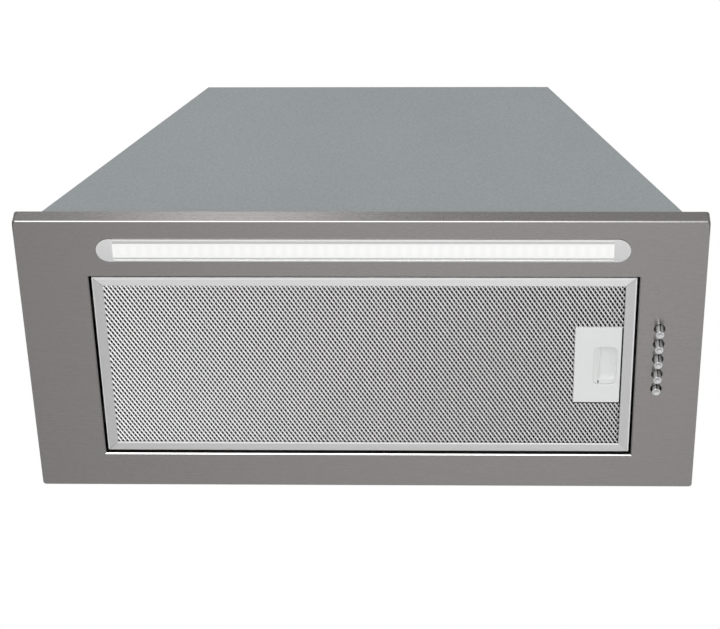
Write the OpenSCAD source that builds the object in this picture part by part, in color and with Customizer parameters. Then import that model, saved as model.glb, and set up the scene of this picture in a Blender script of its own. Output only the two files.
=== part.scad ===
// Built-in range hood that fits under a wall cabinet.
// Millimetres, +Z up, front towards -Y. The origin is the middle of the face panel in plan,
// at the height of its rim, which is the face that meets the underside of the cabinet.

/* [Face panel] */
// Width of the face panel
panel_w = 598; // [592:1:720]
// Depth of the face panel, front to wall
panel_d = 300; // [296:1:340]
// Height of the folded edge
lip_h = 14.5; // [14:0.5:20]
// Thickness of the stainless sheet
sheet = 1; // [0.8:0.1:1.2]
// Radius of the panel's corners in plan
corner_r = 3; // [2:0.5:5]
// Width of the rim along the two ends
rim_end = 17; // [15:0.5:17.5]
// Width of the rim along the front
rim_front = 7; // [5:0.5:8]
// Width of the rim along the back
rim_back = 12; // [8:0.5:13]
// Distance of the cabinet screws from the panel's centre, along X
screw_x = 290.5; // [290:0.5:291]
// Distance of the cabinet screws from the panel's centre, along Y
screw_y = 110; // [60:1:125]
// Radius of the cabinet screw holes
screw_hole_r = 2.25; // [2:0.05:2.75]

/* [Housing] */
// Width of the housing at its foot
body_w = 556; // [540:1:558]
// Width of the housing at its top
body_top_w = 313; // [290:1:400]
// Sideways offset of the housing's top from the panel's centre
top_shift = 10; // [0:0.5:15]
// Gap between the panel's front edge and the housing
body_front_gap = 10; // [9:0.5:12]
// Gap between the housing and the panel's back edge
body_back_gap = 15; // [14:0.5:20]
// Height of the upright foot of the housing above the rim
neck_h = 13; // [10:0.5:16]
// Height of the housing above the rim
body_h = 211; // [208:1:250]
// Thickness of the housing sheet
body_sheet = 0.8; // [0.6:0.1:1]
// Width of the folded seams
seam_w = 12; // [10:0.5:16]

/* [Base frame] */
// Thickness of the base frame
frame_t = 1; // [0.8:0.1:1.5]
// Height of the base frame's upright leg
frame_h = 21; // [18:0.5:24]
// Width of the foot along the two ends
foot_end = 9; // [8:0.5:10]
// Width of the foot along the front
foot_front = 5; // [4:0.5:6]
// Width of the foot along the back
foot_back = 12; // [10:0.5:16]

/* [Filter] */
// Width of the filter's cut-out
cut_w = 479.5; // [440:0.5:482]
// Depth of the filter's cut-out, front to back
cut_d = 202.5; // [190:0.5:204]
// Sideways place of the cut-out's centre
cut_x = 2; // [-2:0.5:4]
// Front to back place of the cut-out's centre
cut_y = 11; // [8:0.5:12]
// Height of the flange folded up round the cut-out
cut_flange_h = 12.5; // [12:0.5:13]
// Gap between the cut-out and the filter
filter_gap = 2.25; // [2:0.05:3]
// Distance from the panel's lower face up to the filter
filter_recess = 2.5; // [2:0.1:3]
// Thickness of the filter cassette
filter_t = 9; // [8.5:0.1:9.5]
// Width of the cassette's rails
rail_w = 9.5; // [8:0.5:12]
// Wall of the rails
rail_wall = 0.8; // [0.6:0.1:1]
// Thickness of each outer mesh layer
mesh_t = 0.6; // [0.4:0.1:0.8]
// Width of the two tabs that the filter turns on
tab_w = 24; // [16:1:40]
// Distance of each tab from the middle of the filter
tab_y = 60; // [40:1:80]

/* [Latch] */
// Length of the latch plate along X
latch_w = 41; // [38:0.5:46]
// Length of the latch plate along Y
latch_d = 85; // [70:1:100]
// Thickness of the latch plate
latch_t = 2; // [1.6:0.1:2.2]
// Gap between the latch plate and the right-hand rail
latch_gap = 1.3; // [1:0.1:2]
// Width of the finger window
window_w = 21; // [19:0.5:22]
// Length of the finger window
window_d = 43.5; // [34:0.5:50]
// Corner radius of the finger window
window_r = 6; // [3:0.5:8]
// Distance of the window from the plate's right-hand edge
window_edge = 3; // [2.5:0.5:4]
// Width of the latch tongue
tongue_w = 17; // [12:1:22]
// Thickness of the latch tongue
tongue_t = 3; // [2:0.5:3]
// Clear distance from the drawn tongue to the cut-out's flange
tongue_clear = 0.4; // [0.3:0.05:0.6]

/* [Lamp] */
// Length of the lamp over its end caps
lamp_l = 461; // [400:1:470]
// Visible width of the lamp
lamp_w = 23.7; // [22:0.1:24]
// Sideways place of the lamp's centre
lamp_x = 2; // [-4:0.5:6]
// Front to back place of the lamp's centre
lamp_y = -119.4; // [-121:0.1:-118]
// Length of the lit window
lit_l = 432; // [370:1:440]
// Width of the lit window
lit_w = 15.5; // [14:0.1:16]
// Thickness of the lamp's outer flange
lamp_flange_t = 1.2; // [1:0.1:1.6]
// Wall of the lamp's channel
lamp_wall = 1.2; // [1:0.1:1.4]
// Height of the lamp's channel above the panel's lower face
lamp_h = 11.5; // [10:0.5:12]
// Distance from one light chip to the next
chip_pitch = 9; // [7:0.5:18]

/* [Switches] */
// Sideways place of the buttons
button_x = 261; // [259:0.5:262]
// Distance from one button to the next
button_pitch = 17; // [16:0.5:20]
// Diameter of a button
button_d = 8.3; // [7:0.1:9]
// Diameter of the holes that the buttons stand in
button_hole_d = 10.3; // [10:0.1:10.6]
// How far a button stands out when it is not pressed
button_out = 9.6; // [8:0.1:12]
// How far the pressed button stands out
button_in = 5.3; // [4:0.1:6]
// Width of the switch housing
switch_w = 18; // [17:0.5:18]
// Height of the switch housing
switch_h = 17.5; // [17:0.5:22]

/* [Fan] */
// Diameter of the impeller
wheel_d = 116; // [100:1:118]
// Length of the impeller along the shaft
wheel_l = 96; // [90:1:98]
// Number of blades
blades = 28; // [20:1:32]
// Height of the shaft above the rim
fan_z = 110; // [108:1:114]
// Front to back place of the shaft
fan_y = 52.5; // [50:0.5:53]
// Inner length of the scroll along the shaft
scroll_l = 110; // [106:1:116]
// Smallest radius of the scroll
scroll_r0 = 66; // [64:0.5:67]
// Largest radius of the scroll
scroll_r1 = 95; // [90:0.5:96]
// Wall of the scroll
scroll_t = 1.2; // [1:0.1:1.5]
// Depth of the scroll's outlet, front to back
outlet_d = 80; // [70:1:90]
// Radius of the inlets
inlet_r = 50; // [48:0.5:51]
// Radius of the motor
motor_r = 36; // [32:0.5:38]
// Length of the motor
motor_l = 44; // [40:1:46]
// Radius of the motor shaft
shaft_r = 4; // [3:0.5:5]

/* [Outlet] */
// Outer diameter of the duct collar
collar_d = 120; // [118:1:125]
// Height of the duct collar above the housing
collar_h = 35; // [30:1:50]
// Wall of the duct collar
collar_t = 1.2; // [1:0.1:1.5]
// Radius of the damper pins
pin_r = 1.5; // [1.25:0.25:2]
// Distance of each damper pin from the collar's centre
pin_x = 4; // [4:0.5:6]
// Radius of the cable gland's bore
gland_bore_r = 4; // [3:0.25:4.5]

/* [Hidden] */
$fn = 48;
e = 0.01;                 // overshoot of a cut past a face
gap = 0.3;                // clearance between parts that move past each other
fit = 0.15;               // radial clearance of a screw in its hole

// Heights of the face panel
low = -lip_h;             // lower face of the panel
floor_z = low + sheet;    // upper face of the panel's sheet

// Plan of the housing
body_y0 = -panel_d / 2 + body_front_gap;
body_y1 = panel_d / 2 - body_back_gap;
body_cy = (body_y0 + body_y1) / 2;
in_x = body_w / 2 - body_sheet;
in_y0 = body_y0 + body_sheet;
in_y1 = body_y1 - body_sheet;
in_top = body_h - body_sheet;
top_x0 = top_shift - body_top_w / 2;
top_x1 = top_shift + body_top_w / 2;

// Filter cassette
cut_x1 = cut_x + cut_w / 2;
cut_x0 = cut_x - cut_w / 2;
filt_w = cut_w - 2 * filter_gap;
filt_d = cut_d - 2 * filter_gap;
filt_x1 = cut_x + filt_w / 2;
filt_x0 = cut_x - filt_w / 2;
filt_z0 = low + filter_recess;
filt_z1 = filt_z0 + filter_t;
mesh_w = filt_w - 2 * rail_wall;
mesh_d = filt_d - 2 * rail_wall;
core_z0 = filt_z0 + rail_wall + mesh_t;
core_z1 = filt_z1 - rail_wall - mesh_t;
tab_t = 1;
tab_z = filt_z0 + 6;
tab_out = filter_gap + 3.3;

// Latch
plate_x1 = filt_x1 - rail_w - latch_gap;
plate_x0 = plate_x1 - latch_w;
plate_y = cut_y - 1.5;
plate_z1 = filt_z0 + latch_t;
win_x1 = plate_x1 - window_edge;
win_x0 = win_x1 - window_w;
win_y = plate_y + 1;
latch_in = 3.5;           // how far the slider draws back from rest
box_wall = 1.2;
slide_z1 = core_z1 - gap; // upper face of the slider
slide_t = 1.2;
slide_x0 = win_x0 - latch_in;
slide_x1 = win_x1 + latch_in;
slide_d = window_d + 4;
box_x0 = slide_x0 - 9;
box_d = slide_d + 2 * gap + 2 * box_wall;
tongue_z0 = slide_z1 - slide_t - tongue_t + e;
tongue_x1 = cut_x1 - tongue_clear;
slot_play = 1;            // room round the tongue in its slots

// Lamp
lamp_r = lamp_w / 2;
chan_r = lamp_r - 1.85;   // half width of the channel that goes up through the panel
lamp_z1 = low + lamp_h;
chip_n = floor((lit_l - 6) / chip_pitch);
cap_straight = (lamp_l - lit_l) / 2 - lamp_r;

// Switches
flange_r = 5.7;
bore_r = flange_r + 0.4;
stem_r = 2.4;
roof_t = 3.5;
switch_z1 = floor_z + switch_h;
switch_d = 4 * button_pitch + 32;
roof_z = switch_z1 - roof_t;
button_flange_z = floor_z + gap;
button_flange_t = 1.2;
pressed = button_out - button_in;

// Fan
wheel_r = wheel_d / 2;
scroll_x0 = top_shift - scroll_l / 2;
scroll_x1 = top_shift + scroll_l / 2;
side_t = 1.5;
outlet_y0 = fan_y - scroll_r1;
outlet_y1 = outlet_y0 + outlet_d;
tongue_a = 130;           // angle at which the spiral leaves the outlet's back wall
motor_x0 = scroll_x0 - side_t;
motor_x1 = motor_x0 + motor_l;
can_t = 1.5;
bush_r = 7;
bush_l = 7;
bush_play = 0.05;

// Outlet
collar_r = collar_d / 2;
collar_in = collar_r - collar_t;
collar_flange_r = collar_r + 12;
collar_flange_t = 1.5;
ear_clear = 6.5;          // from the collar's flange to the middle of a fan screw
ear_y = 52;
ear_x = max(scroll_l / 2 + 5, sqrt(pow(collar_flange_r + ear_clear, 2) - ear_y * ear_y));
pin_z = body_h + 9;
flap_r = collar_in - 1.2;
flap_t = 1;
ledge_z1 = pin_z - 2.8;
collar_screw_r = collar_r + 6.5;
gland_x = top_shift - 120;
gland_y = 90;

steel = [0.62, 0.61, 0.59];
grey_paint = [0.57, 0.59, 0.60];
zinc = [0.72, 0.74, 0.76];
alloy = [0.80, 0.80, 0.80];
pale_plastic = [0.86, 0.87, 0.87];
black_plastic = [0.09, 0.09, 0.10];
white_plastic = [0.93, 0.93, 0.91];
copper = [0.72, 0.43, 0.25];

// --- Shared shapes ---------------------------------------------------------

// Flat rectangle with round corners, centred on the origin
module plan(w, d, r) {
  square([w - 2 * r, d], center = true);
  square([w, d - 2 * r], center = true);
  for (x = [-1, 1], y = [-1, 1])
    translate([x * (w / 2 - r), y * (d / 2 - r)]) circle(r);
}

// Block between two corners
module block(a, b) {
  translate(a) cube(b - a);
}

// Block with round ends along X, centred on the origin in plan
module slot_block(l, r, z0, z1) {
  translate([0, 0, z0]) linear_extrude(z1 - z0) {
    square([l - 2 * r, 2 * r], center = true);
    for (x = [-1, 1]) translate([x * (l / 2 - r), 0]) circle(r);
  }
}

// Pan-head screw standing on z = 0 with its shank downwards
module pan_screw(r, l) {
  head_r = 2 * r;
  head_h = 1.1 * r;
  difference() {
    union() {
      translate([0, 0, -l]) cylinder(r = r, h = l + e);
      cylinder(r1 = head_r, r2 = 0.75 * head_r, h = head_h);
    }
    for (a = [0, 90])
      rotate([0, 0, a]) translate([-r, -0.2 * r, 0.4 * head_h]) cube([2 * r, 0.4 * r, head_h]);
  }
}

// Coil spring along +Z from z = 0, its wire swept as one closed skin
module coil(r, wire_r, l, turns) {
  sides = 6;
  steps = turns * 10;
  rise = l - 2 * wire_r;
  points = [for (i = [0:steps], k = [0:sides - 1])
    let (a = 360 * turns * i / steps, b = 360 * k / sides, q = r + wire_r * cos(b))
    [q * cos(a), q * sin(a), wire_r + rise * i / steps + wire_r * sin(b)]];
  walls = [for (i = [0:steps - 1], k = [0:sides - 1])
    let (n = (k + 1) % sides)
    [i * sides + k, i * sides + n, (i + 1) * sides + n, (i + 1) * sides + k]];
  start = [for (k = [sides - 1:-1:0]) k];
  finish = [for (k = [0:sides - 1]) steps * sides + k];
  polyhedron(points, concat([start], [finish], walls), convexity = 8);
}

// --- Face panel ------------------------------------------------------------

module face_panel() color(steel) {
  difference() {
    union() {
      translate([0, 0, low]) difference() {
        linear_extrude(lip_h) plan(panel_w, panel_d, corner_r);
        translate([0, 0, sheet]) linear_extrude(lip_h)
          plan(panel_w - 2 * sheet, panel_d - 2 * sheet, corner_r - sheet);
      }
      difference() {
        translate([0, 0, -sheet]) linear_extrude(sheet) plan(panel_w, panel_d, corner_r);
        block([-panel_w / 2 + rim_end, -panel_d / 2 + rim_front, -lip_h],
              [panel_w / 2 - rim_end, panel_d / 2 - rim_back, lip_h]);
      }
      translate([cut_x, cut_y, low]) linear_extrude(cut_flange_h)
        square([cut_w + 2 * sheet, cut_d + 2 * sheet], center = true);
    }
    translate([cut_x, cut_y, low - e]) linear_extrude(cut_flange_h + 2 * e)
      square([cut_w, cut_d], center = true);
    translate([lamp_x, lamp_y, 0])
      slot_block(lamp_l - 2 * (lamp_r - chan_r) + 2 * gap, chan_r + gap, low - 1, floor_z + 1);
    for (i = [-2:2])
      translate([button_x, i * button_pitch, low - 1]) cylinder(d = button_hole_d, h = sheet + 2);
    for (x = [-1, 1], y = [-1, 1])
      translate([x * screw_x, y * screw_y, -sheet - 1]) cylinder(r = screw_hole_r, h = sheet + 2);
    block([cut_x1 - 1, win_y - tongue_w / 2 - slot_play, tongue_z0 - slot_play],
          [cut_x1 + sheet + 1, win_y + tongue_w / 2 + slot_play, tongue_z0 + tongue_t + slot_play]);
    for (y = [-1, 1])
      block([cut_x0 - sheet - 1, cut_y + y * tab_y - tab_w / 2 - slot_play, tab_z - gap],
            [cut_x0 + 1, cut_y + y * tab_y + tab_w / 2 + slot_play, tab_z + tab_t + 1.5]);
  }
}

module base_frame() color(zinc) difference() {
  block([-in_x, in_y0, floor_z], [in_x, in_y1, floor_z + frame_h]);
  block([-in_x + frame_t, in_y0 + frame_t, floor_z + frame_t],
        [in_x - frame_t, in_y1 - frame_t, floor_z + frame_h + 1]);
  block([-in_x + foot_end, in_y0 + foot_front, floor_z - 1],
        [in_x - foot_end, in_y1 - foot_back, floor_z + frame_t + 1]);
  block([in_x - foot_end - 1, -switch_d / 2 - 1, floor_z - 1],
        [in_x - frame_t - 1, switch_d / 2 + 1, floor_z + frame_t + 1]);
  for (p = stud_places()) translate([p.x, p.y, floor_z - 1]) cylinder(r = stud_r + fit, h = frame_t + 2);
  for (x = foot_screws) translate([x, in_y1 + 1, 0]) rotate([90, 0, 0]) cylinder(r = screw_r + fit, h = 3);
}

// Weld studs on the panel, and the nuts that hold the base frame and the switch housing down
stud_r = 1.5;
stud_h = 7;
nut_r = 3.1;
nut_h = 2.4;
screw_r = 1.9;
foot_screws = [-220, -110, 0, 110, 220];
function stud_places() = concat(
  [for (x = [-1, 1], y = [-118, -70, 70, 116]) [x * (in_x - foot_end / 2 - 0.5), y]],
  [for (x = [-180, 0, 180]) [x, in_y1 - foot_back / 2 - 0.5]]);
function switch_studs() = [for (y = [-1, 1]) [button_x, y * (switch_d / 2 - 4)]];
ear_t = 3;

module nut_on_stud(z) {
  cylinder(r = stud_r, h = z + stud_h);
  translate([0, 0, z]) cylinder(r = nut_r, h = nut_h, $fn = 6);
}

module panel_nuts() color(zinc) {
  for (p = stud_places()) translate([p.x, p.y, floor_z]) nut_on_stud(frame_t);
  for (p = switch_studs()) translate([p.x, p.y, floor_z]) nut_on_stud(ear_t);
}

// --- Housing ---------------------------------------------------------------

function side_x(z) = z <= neck_h ? 0 : (z - neck_h) / (body_h - neck_h);
function left_x(z) = -body_w / 2 + side_x(z) * (top_x0 + body_w / 2);
function right_x(z) = body_w / 2 + side_x(z) * (top_x1 - body_w / 2);

// Outline of the front and rear sheets, in X and Z
module body_outline() {
  polygon([[-body_w / 2, floor_z], [body_w / 2, floor_z], [body_w / 2, neck_h],
           [top_x1, body_h], [top_x0, body_h], [-body_w / 2, neck_h]]);
}

rear_screws = concat(
  [for (x = foot_screws) [x, 0]],
  [for (z = [60, 120, 175]) [left_x(z) + 7, z]],
  [for (z = [60, 120, 175]) [right_x(z) - 7, z]],
  [for (x = [-90, 0, 90]) [top_shift + x, body_h - 6]]);

module rear_holes() {
  for (p = rear_screws)
    translate([p.x, body_y1 + 2, p.y]) rotate([90, 0, 0]) cylinder(r = screw_r + fit, h = 6);
}

module housing_front() color(grey_paint)
  translate([0, in_y0, 0]) rotate([90, 0, 0]) linear_extrude(body_sheet) body_outline();

module housing_rear() color(grey_paint) difference() {
  translate([0, body_y1, 0]) rotate([90, 0, 0]) linear_extrude(body_sheet) body_outline();
  rear_holes();
}

// Side sheet: foot, slope and the seams folded in behind the front and rear sheets.
// foot_x and top_x are its outer face, s is the side it is on.
module side_sheet(foot_x, top_x, s) {
  t = s * body_sheet;
  w = s * seam_w;
  drop = in_top;
  upper = top_x - (top_x - foot_x) * (body_h - drop) / (body_h - neck_h);
  difference() {
    union() {
      translate([0, in_y1, 0]) rotate([90, 0, 0]) linear_extrude(in_y1 - in_y0)
        polygon([[foot_x, floor_z], [foot_x, neck_h], [upper, drop],
                 [upper - t, drop], [foot_x - t, neck_h], [foot_x - t, floor_z]]);
      for (y = [in_y0 + body_sheet, in_y1])
        translate([0, y, 0]) rotate([90, 0, 0]) linear_extrude(body_sheet)
          polygon([[foot_x, neck_h], [upper, drop], [upper - w, drop], [foot_x - w, neck_h]]);
    }
    rear_holes();
  }
}

module housing_left() color(grey_paint) side_sheet(-body_w / 2, top_x0, -1);
module housing_right() color(grey_paint) side_sheet(body_w / 2, top_x1, 1);

module housing_top() color(grey_paint) difference() {
  union() {
    block([top_x0, in_y0, in_top], [top_x1, in_y1, body_h]);
    for (y = [in_y0, in_y1 - body_sheet])
      block([top_x0 + seam_w + 3, y, in_top - seam_w], [top_x1 - seam_w - 3, y + body_sheet, in_top + e]);
  }
  translate([top_shift, body_cy, in_top - 1]) cylinder(r = collar_in - 2.8, h = body_sheet + 2);
  translate([gland_x, gland_y, in_top - 1]) cylinder(r = gland_thread_r + fit, h = body_sheet + 2);
  for (x = [-1, 1], y = [-1, 1])
    translate([top_shift + x * ear_x, body_cy + y * ear_y, in_top - 1])
      cylinder(r = screw_r + fit, h = body_sheet + 2);
  collar_screw_places() translate([0, 0, in_top - 1]) cylinder(r = screw_r + fit, h = body_sheet + 2);
  rear_holes();
}

module housing_screws() color(zinc)
  for (p = rear_screws)
    translate([p.x, body_y1, p.y]) rotate([-90, 0, 0]) pan_screw(screw_r, 5);

// --- Lamp ------------------------------------------------------------------

// Outer and inner corners of one side of the channel, in Y and Z
channel_out = [[lit_w / 2, low - lamp_flange_t], [lamp_r, low - lamp_flange_t], [lamp_r, low],
               [chan_r, low], [chan_r, lamp_z1]];
channel_in = [[chan_r - lamp_wall, lamp_z1 - lamp_wall], [chan_r - lamp_wall, low], [lit_w / 2, low]];

function across(list) = [for (i = [len(list) - 1:-1:0]) [-list[i].x, list[i].y]];

// Puts a shape drawn in Y and Z along X, over the length l round the lamp's centre
module along_lamp(l) {
  translate([lamp_x - l / 2, lamp_y, 0]) rotate([90, 0, 90]) linear_extrude(l) children();
}

module lamp_profile() color(alloy) along_lamp(lit_l)
  polygon(concat(channel_out, across(channel_out), across(channel_in), channel_in));

module lamp_diffuser() color(white_plastic) {
  lens_w = 2 * (chan_r - lamp_wall) - 0.2;
  along_lamp(lit_l) {
    translate([-lit_w / 2 + 0.1, low - lamp_flange_t + 0.3]) square([lit_w - 0.2, lamp_flange_t - 0.3 + e]);
    translate([-lens_w / 2, low]) square([lens_w, 1]);
  }
}

// End cap: round flange under the panel and a round plug up through it
module lamp_cap(s) {
  translate([lamp_x + s * lit_l / 2, lamp_y, 0]) difference() {
    union() {
      round_end(s, lamp_r, cap_straight, low - lamp_flange_t, low);
      round_end(s, chan_r, cap_straight, low - e, lamp_z1);
    }
    translate([s * cap_straight, 0, low + 2]) cylinder(r = chan_r - 2, h = lamp_h);
  }
}

module round_end(s, r, l, z0, z1) {
  block([min(0, s * l), -r, z0], [max(0, s * l), r, z1]);
  intersection() {
    translate([s * l, 0, z0]) cylinder(r = r, h = z1 - z0);
    block([min(0, s * 2 * r + s * l), -r - 1, z0 - 1], [max(0, s * 2 * r + s * l), r + 1, z1 + 1]);
  }
}

module lamp_cap_left() color(alloy) lamp_cap(-1);
module lamp_cap_right() color(alloy) lamp_cap(1);

board_t = 1.2;
board_w = 12;

module led_board() color(white_plastic) along_lamp(lit_l - 4)
  translate([-board_w / 2, lamp_z1 - lamp_wall - board_t]) square([board_w, board_t]);

module led_chips() color([1, 0.95, 0.7])
  for (i = [0:chip_n - 1])
    translate([lamp_x + (i - (chip_n - 1) / 2) * chip_pitch, lamp_y, lamp_z1 - lamp_wall - board_t - 0.35])
      cube([2.8, 3.5, 0.7], center = true);

// Spring clips over the channel, standing on the panel
module lamp_clips() color(zinc)
  for (x = [-0.4, -0.14, 0.14, 0.4])
    translate([lamp_x + x * lit_l, lamp_y, 0]) {
      clip_r = chan_r + gap + 0.8;
      block([-7, -clip_r, lamp_z1], [7, clip_r, lamp_z1 + 0.8]);
      for (y = [-1, 1])
        block([-7, min(y * clip_r, y * (clip_r - 0.8)), floor_z], [7, max(y * clip_r, y * (clip_r - 0.8)), lamp_z1 + e]);
    }

// --- Switches --------------------------------------------------------------

module switch_housing() color(black_plastic) difference() {
  union() {
    block([button_x - switch_w / 2, -switch_d / 2 + 9, floor_z], [button_x + switch_w / 2, switch_d / 2 - 9, switch_z1]);
    block([button_x - switch_w / 2, -switch_d / 2, floor_z], [button_x + switch_w / 2, switch_d / 2, floor_z + ear_t]);
  }
  for (i = [-2:2]) translate([button_x, i * button_pitch, 0]) {
    translate([0, 0, floor_z - 1]) cylinder(r = bore_r, h = roof_z - floor_z + 1);
    translate([0, 0, roof_z - 1]) cylinder(r = stem_r + gap, h = roof_t + 2);
  }
  for (p = switch_studs()) translate([p.x, p.y, floor_z - 1]) cylinder(r = stud_r + fit, h = ear_t + 2);
}

// One button with its retaining flange and stem. i is its place in the row, up is how far it is in.
module button(i, up) {
  tip = low - button_out;
  r = button_d / 2;
  translate([button_x, i * button_pitch, up]) rotate_extrude()
    polygon([[0, tip], [r - 0.6, tip], [r - 0.18, tip + 0.18], [r, tip + 0.6], [r, button_flange_z],
             [flange_r, button_flange_z], [flange_r, button_flange_z + button_flange_t],
             [stem_r, button_flange_z + button_flange_t], [stem_r, switch_z1 + 2.5], [0, switch_z1 + 2.5]]);
}

module button_off() color(zinc) button(-2, 0);
module button_speed_1() color(zinc) button(-1, 0);
module button_speed_2() color(zinc) button(0, 0);
module button_speed_3() color(zinc) button(1, 0);
module button_light() color(zinc) button(2, pressed);

module button_springs() color(zinc)
  for (i = [-2:2]) {
    up = i == 2 ? pressed : 0;
    base = button_flange_z + button_flange_t + up;
    translate([button_x, i * button_pitch, base + 0.1]) coil(4.2, 0.35, roof_z - base - 0.2, 5);
  }

// --- Filter ----------------------------------------------------------------

// C-shaped rail along the filter's edge, mitred at both ends. l is its length and d the
// distance from the filter's centre to its outer face; it runs along X with its mouth to +Y.
module rail(l, d) {
  intersection() {
    translate([-l / 2, -d, filt_z0]) rotate([90, 0, 90]) linear_extrude(l)
      polygon([[0, 0], [rail_w, 0], [rail_w, rail_wall], [rail_wall, rail_wall],
               [rail_wall, filter_t - rail_wall], [rail_w, filter_t - rail_wall], [rail_w, filter_t], [0, filter_t]]);
    translate([0, -d, filt_z0 - 1]) linear_extrude(filter_t + 2)
      polygon([[-l / 2, 0], [l / 2, 0], [l / 2 - rail_w, rail_w], [-l / 2 + rail_w, rail_w]]);
  }
}

module filter_rail_front() color(alloy) translate([cut_x, cut_y, 0]) rail(filt_w, filt_d / 2);
module filter_rail_back() color(alloy) translate([cut_x, cut_y, 0]) rotate([0, 0, 180]) rail(filt_w, filt_d / 2);
module filter_rail_left() color(alloy) difference() {
  translate([cut_x, cut_y, 0]) rotate([0, 0, -90]) rail(filt_d, filt_w / 2);
  for (y = [-1, 1])
    block([filt_x0 - 1, cut_y + y * tab_y - tab_w / 2, tab_z], [filt_x0 + rail_wall + 1, cut_y + y * tab_y + tab_w / 2, tab_z + tab_t]);
}
module filter_rail_right() color(alloy) difference() {
  translate([cut_x, cut_y, 0]) rotate([0, 0, 90]) rail(filt_d, filt_w / 2);
  block([filt_x1 - rail_wall - 1, win_y - tongue_w / 2 - slot_play, tongue_z0 - slot_play],
        [filt_x1 + 1, win_y + tongue_w / 2 + slot_play, tongue_z0 + tongue_t + slot_play]);
}

// Sheet between the rails, with the latch's place cut out of it
module filter_layer(z0, z1) {
  block([cut_x - mesh_w / 2, cut_y - mesh_d / 2, z0], [cut_x + mesh_w / 2, cut_y + mesh_d / 2, z1]);
}

module filter_mesh_lower() color(alloy) difference() {
  filter_layer(filt_z0 + rail_wall, core_z0);
  block([plate_x0 - 0.2, plate_y - latch_d / 2 - 0.2, filt_z0], [plate_x1 + 0.2, plate_y + latch_d / 2 + 0.2, core_z0 + 1]);
}
module filter_mesh_core() color(zinc) difference() {
  filter_layer(core_z0, core_z1);
  block([plate_x0 - 0.2, plate_y - latch_d / 2 - 0.2, core_z0 - 1], [plate_x1 + 0.2, plate_y + latch_d / 2 + 0.2, plate_z1 + 0.2]);
  block([box_x0 - 0.2, win_y - box_d / 2 - 0.2, core_z0 - 1], [filt_x1, win_y + box_d / 2 + 0.2, core_z1 + 1]);
  for (y = [-1, 1])
    block([filt_x0, cut_y + y * tab_y - tab_w / 2 - 0.2, tab_z - 0.2], [filt_x0 + 14, cut_y + y * tab_y + tab_w / 2 + 0.2, tab_z + tab_t + 0.2]);
}
module filter_mesh_upper() color(alloy) filter_layer(core_z1, core_z1 + mesh_t);

module filter_tabs() color(zinc)
  for (y = [-1, 1])
    block([filt_x0 - tab_out, cut_y + y * tab_y - tab_w / 2, tab_z], [filt_x0 + 13, cut_y + y * tab_y + tab_w / 2, tab_z + tab_t]);

// --- Latch -----------------------------------------------------------------

module latch_plate() color(pale_plastic) {
  difference() {
    block([plate_x0, plate_y - latch_d / 2, filt_z0], [plate_x1, plate_y + latch_d / 2, plate_z1]);
    translate([(win_x0 + win_x1) / 2, win_y, filt_z0 - 1]) linear_extrude(latch_t + 2) plan(window_w, window_d, window_r);
  }
  difference() {
    block([box_x0, win_y - box_d / 2, plate_z1 - e], [plate_x1, win_y + box_d / 2, core_z1]);
    block([box_x0 + box_wall, win_y - box_d / 2 + box_wall, plate_z1 - 1], [plate_x1 + 1, win_y + box_d / 2 - box_wall, core_z1 + 1]);
  }
}

module latch_slider() color(pale_plastic) {
  floor0 = slide_z1 - slide_t;
  grip_x = win_x0 + 4;
  block([slide_x0, win_y - slide_d / 2, floor0], [slide_x1, win_y + slide_d / 2, slide_z1]);
  block([slide_x0, win_y - 8, plate_z1 + gap], [slide_x0 + 1.2, win_y + 8, floor0 + e]);
  block([grip_x, win_y - window_d / 2 + 4, filt_z0 + 0.4], [grip_x + 1.6, win_y + window_d / 2 - 4, floor0 + e]);
  block([slide_x1 - 4, win_y - tongue_w / 2, tongue_z0], [tongue_x1, win_y + tongue_w / 2, tongue_z0 + tongue_t]);
}

module latch_spring() color(zinc) {
  r = 1.4;
  l = slide_x0 - box_x0 - box_wall - 0.2;
  z = (plate_z1 + core_z1) / 2;
  translate([box_x0 + box_wall + 0.1, win_y, z]) rotate([0, 90, 0]) coil(r, 0.25, l, 6);
}

// --- Fan -------------------------------------------------------------------

function spiral_r(a) = scroll_r0 + (scroll_r1 - scroll_r0) * (tongue_a - a) / (tongue_a + 180);

// Scroll outline in Y and Z, grown outwards by t
function scroll_outline(t) = concat(
  [for (a = [tongue_a:-10:-170]) [fan_y + (spiral_r(a) + t) * cos(a), fan_z + (spiral_r(a) + t) * sin(a)]],
  [[outlet_y0 - t, fan_z], [outlet_y0 - t, in_top], [outlet_y1 + t, in_top]]);

// Puts a shape drawn in Y and Z along X from x0 to x1
module along_shaft(x0, x1) {
  translate([x0, 0, 0]) rotate([90, 0, 90]) linear_extrude(x1 - x0) children();
}

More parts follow.
